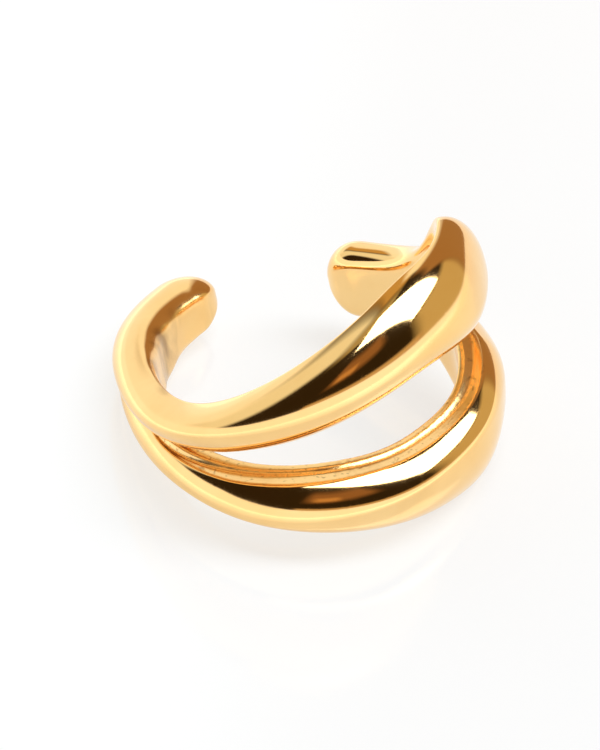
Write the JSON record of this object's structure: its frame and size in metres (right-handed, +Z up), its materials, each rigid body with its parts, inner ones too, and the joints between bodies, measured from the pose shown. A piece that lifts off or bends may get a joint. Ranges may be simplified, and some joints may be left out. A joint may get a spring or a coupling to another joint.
{
  "type": "ear cuff",
  "caption": "Open ring that clips on the rim of an ear: domed bands part round an eye-shaped window and meet in rounded stems at the gap.",
  "frame": {"origin": "on the floor under the centre of the bounding box", "axes": "+Z up as the cuff lies; the fat middle of the ring faces -Y and the gap for the ear faces +Y"},
  "size_m": [0.0122, 0.0138, 0.0081],
  "materials": {
    "gold": "polished gold plate"
  },
  "bodies": {
    "root": {"cuff_body": "gold"}
  },
  "joints": []
}
